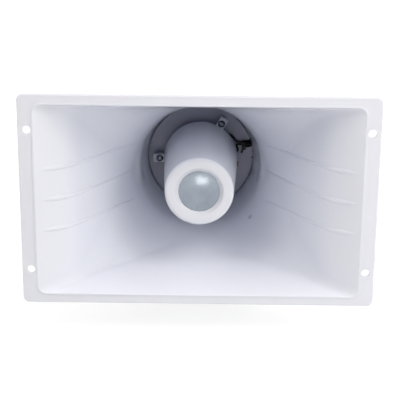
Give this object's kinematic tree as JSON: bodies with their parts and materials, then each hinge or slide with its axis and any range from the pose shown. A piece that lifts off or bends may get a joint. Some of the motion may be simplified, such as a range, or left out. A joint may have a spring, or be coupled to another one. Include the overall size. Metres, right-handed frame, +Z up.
{
  "type": "pa horn speaker",
  "caption": "Rectangular white horn loudspeaker with a round centre bullet that holds its driver, a screwed rear housing and a tilting U bracket.",
  "frame": {"origin": "middle of the footprint box, level with the underside of the bracket's foot", "axes": "+Z up, the horn's mouth faces -Y, +X to the right for someone looking into the mouth"},
  "size_m": [0.36, 0.2676, 0.249],
  "materials": {
    "bell_abs": "gloss injection-moulded white ABS",
    "bullet_abs": "satin injection-moulded white ABS",
    "plate_grey": "fine-textured grey moulding",
    "seal_rubber": "matt sheet rubber",
    "screw_steel": "black zinc-plated steel",
    "badge_aluminium": "satin bare disc",
    "pole_steel": "zinc-plated steel",
    "ferrite": "ground ferrite",
    "film": "phenolic-coated film",
    "coil_aluminium": "enamelled winding on a former",
    "driver_moulding": "black moulding",
    "brass": "bare brass",
    "tag_laminate": "brown laminate",
    "housing_grey": "fine-textured light grey moulding",
    "core_iron": "varnished laminations",
    "winding_tape": "yellow tape over the winding",
    "terminal_moulding": "natural nylon",
    "gland_nylon": "grey nylon",
    "bracket_steel": "light grey powder-coated steel",
    "bolt_steel": "bright steel",
    "lead_pvc": "black PVC",
    "tie_nylon": "black nylon"
  },
  "bodies": {
    "bracket": {"mount_bracket": "bracket_steel"},
    "horn": {"bell": "bell_abs", "neck_plate": "plate_grey", "plate_gasket": "seal_rubber", "plate_screws": "screw_steel", "bullet_shell": "bullet_abs", "bullet_screws": "screw_steel", "bullet_badge": "badge_aluminium", "driver_yoke": "pole_steel", "driver_magnet": "ferrite", "driver_top_plate": "pole_steel", "diaphragm_surround": "film", "driver_clamp_ring": "driver_moulding", "driver_lugs": "brass", "driver_seal": "seal_rubber", "driver_screws": "screw_steel", "throat_horn": "driver_moulding", "phase_plug": "driver_moulding", "tag_strip": "tag_laminate", "rear_housing": "housing_grey", "housing_gasket": "seal_rubber", "housing_screws": "screw_steel", "transformer_core": "core_iron", "transformer_coil": "winding_tape", "transformer_strap": "pole_steel", "transformer_screws": "screw_steel", "terminal_block": "terminal_moulding", "terminal_screws": "brass", "gland_body": "gland_nylon", "gland_seal": "seal_rubber", "gland_cap": "gland_nylon", "gland_nut": "gland_nylon", "pivot_inserts": "brass", "friction_pads": "seal_rubber", "flat_washers": "bolt_steel", "spring_washers": "bolt_steel", "pivot_bolts": "bolt_steel", "lead_upper": "lead_pvc", "lead_lower": "lead_pvc", "lead_sleeve": "lead_pvc", "cable_tie": "tie_nylon"},
    "diaphragm": {"diaphragm_dome": "film", "voice_coil": "coil_aluminium"}
  },
  "joints": [
    {"name": "tilt", "type": "hinge", "parent": "bracket", "child": "horn", "pos_m": [0, 0.02425, 0.14], "axis": [-1, 0, 0], "range_deg": [-17, 90]},
    {"name": "diaphragm_stroke", "type": "slide", "parent": "horn", "child": "diaphragm", "axis": [0, 1, 0], "range_m": [-0.0003, 0.0003], "stiffness_N_per_m": 2000}
  ]
}
